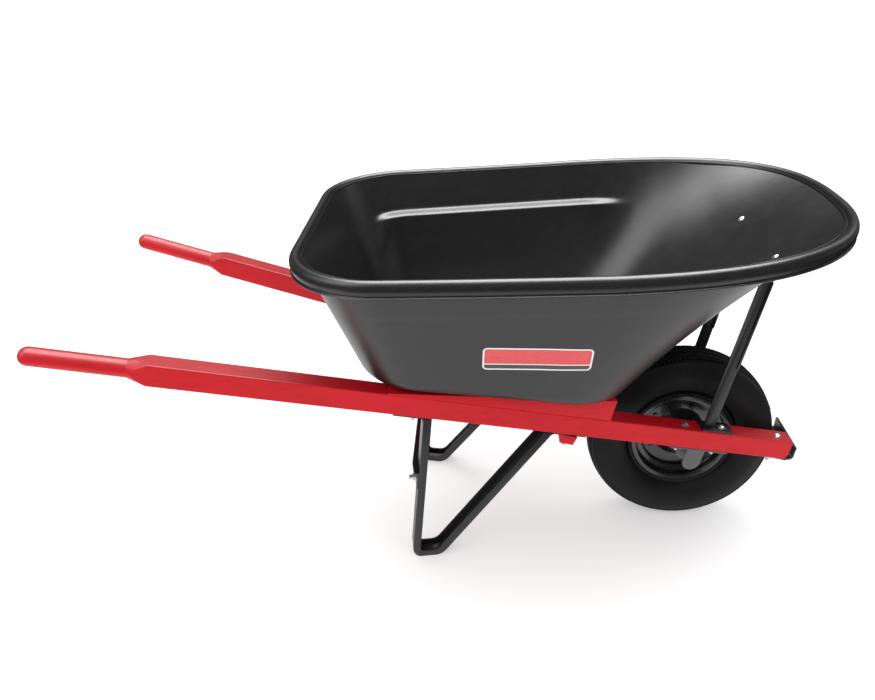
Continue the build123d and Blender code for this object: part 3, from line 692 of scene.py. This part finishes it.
# dark cards round the floor that only show in reflections
cardPaint = Paint("darkCard", roughness=1.0, specular=0.0)
cardPaint.surface.inputs["Base Color"].default_value = (0.01, 0.01, 0.01, 1.0)
holeX, holeY = studio["flagHole"]
far = studio["flagReach"]
cards = {"cardNear": (-far, -far, far, -holeY), "cardFar": (-far, holeY, far, far),
         "cardRear": (-far, -holeY, -holeX, holeY), "cardFront": (holeX, -holeY, far, holeY)}
for name, (lowX, lowY, highX, highY) in cards.items():
    corners = [(lowX, lowY), (highX, lowY), (highX, highY), (lowX, highY)]
    card = addStage(name, [(x, y, studio["flagHeight"]) for x, y in corners], cardPaint)
    card.visible_camera = False
    card.visible_diffuse = False
    card.visible_shadow = False

world = bpy.data.worlds.new("softRoom")
world.use_nodes = True
room = world.node_tree
rays = room.nodes.new("ShaderNodeLightPath")
soft = room.nodes.new("ShaderNodeMath")
soft.operation = "MULTIPLY_ADD"
soft.inputs[1].default_value = studio["ambient"] - studio["mirrored"]
soft.inputs[2].default_value = studio["mirrored"]
room.links.new(rays.outputs["Is Diffuse Ray"], soft.inputs[0])
seen = room.nodes.new("ShaderNodeMath")
seen.operation = "MULTIPLY_ADD"
seen.inputs[1].default_value = studio["behind"]
room.links.new(rays.outputs["Is Camera Ray"], seen.inputs[0])
room.links.new(soft.outputs[0], seen.inputs[2])
room.nodes["Background"].inputs["Color"].default_value = (1.0, 1.0, 1.0, 1.0)
room.links.new(seen.outputs[0], room.nodes["Background"].inputs["Strength"])
bpy.context.scene.world = world
bpy.context.scene.view_settings.view_transform = "Standard"


def addOverhead(name, strength, spread, tilt, onlyShine):
    data = bpy.data.lights.new(name, "SUN")
    data.energy = strength
    data.angle = math.radians(spread)
    lamp = bpy.data.objects.new(name, data)
    lamp.rotation_euler = [math.radians(angle) for angle in tilt]
    lamp.visible_diffuse = not onlyShine
    lamp.visible_glossy = onlyShine
    bpy.context.scene.collection.objects.link(lamp)


addOverhead("overheadSoftbox", studio["keyStrength"], studio["keySpread"], (-8, 4, 0), False)
addOverhead("overheadShine", studio["shineStrength"], studio["shineSpread"], (-10, 0, 0), True)
addOverhead("rearShine", studio["rearShine"], studio["rearSpread"], (24, -46, 0), True)


def addSoftLight(name, place, target, size, power):
    data = bpy.data.lights.new(name, "AREA")
    data.shape = "RECTANGLE"
    data.size, data.size_y = size
    data.energy = power
    lamp = bpy.data.objects.new(name, data)
    lamp.location = place
    lamp.rotation_euler = (Vector(target) - Vector(place)).to_track_quat("-Z", "Y").to_euler()
    bpy.context.scene.collection.objects.link(lamp)


addSoftLight("leftSoftbox", (-2.6, -0.6, 1.6), studio["sideTarget"], (1.4, 1.2), studio["sidePower"])
addSoftLight("rightSoftbox", (2.6, 1.2, 2.2), studio["sideTarget"], (1.6, 1.2), studio["sidePower"])

lensView = {"place": (-471.6, -1543.4, 1216.7), "turn": 0.0043, "tilt": math.radians(25.55), "roll": 0.0202,
            "lens": 33.77, "shift": (-0.039, -0.040)}


def addCamera():
    turn, tilt, roll = lensView["turn"], lensView["tilt"], lensView["roll"]
    ahead = Vector((math.sin(turn) * math.cos(tilt), math.cos(turn) * math.cos(tilt), -math.sin(tilt)))
    level = Vector((math.cos(turn), -math.sin(turn), 0.0))
    upright = level.cross(ahead)
    right = level * math.cos(roll) + upright * math.sin(roll)
    up = upright * math.cos(roll) - level * math.sin(roll)
    data = bpy.data.cameras.new("studioCamera")
    data.sensor_width = 36.0
    data.lens = lensView["lens"]
    data.shift_x, data.shift_y = lensView["shift"]
    camera = bpy.data.objects.new("studioCamera", data)
    spin = Matrix((right, up, -ahead)).transposed().to_4x4()
    camera.matrix_world = Matrix.Translation(fromAxle(*lensView["place"])) @ spin
    bpy.context.scene.collection.objects.link(camera)
    bpy.context.scene.camera = camera


addCamera()
print("studio made")
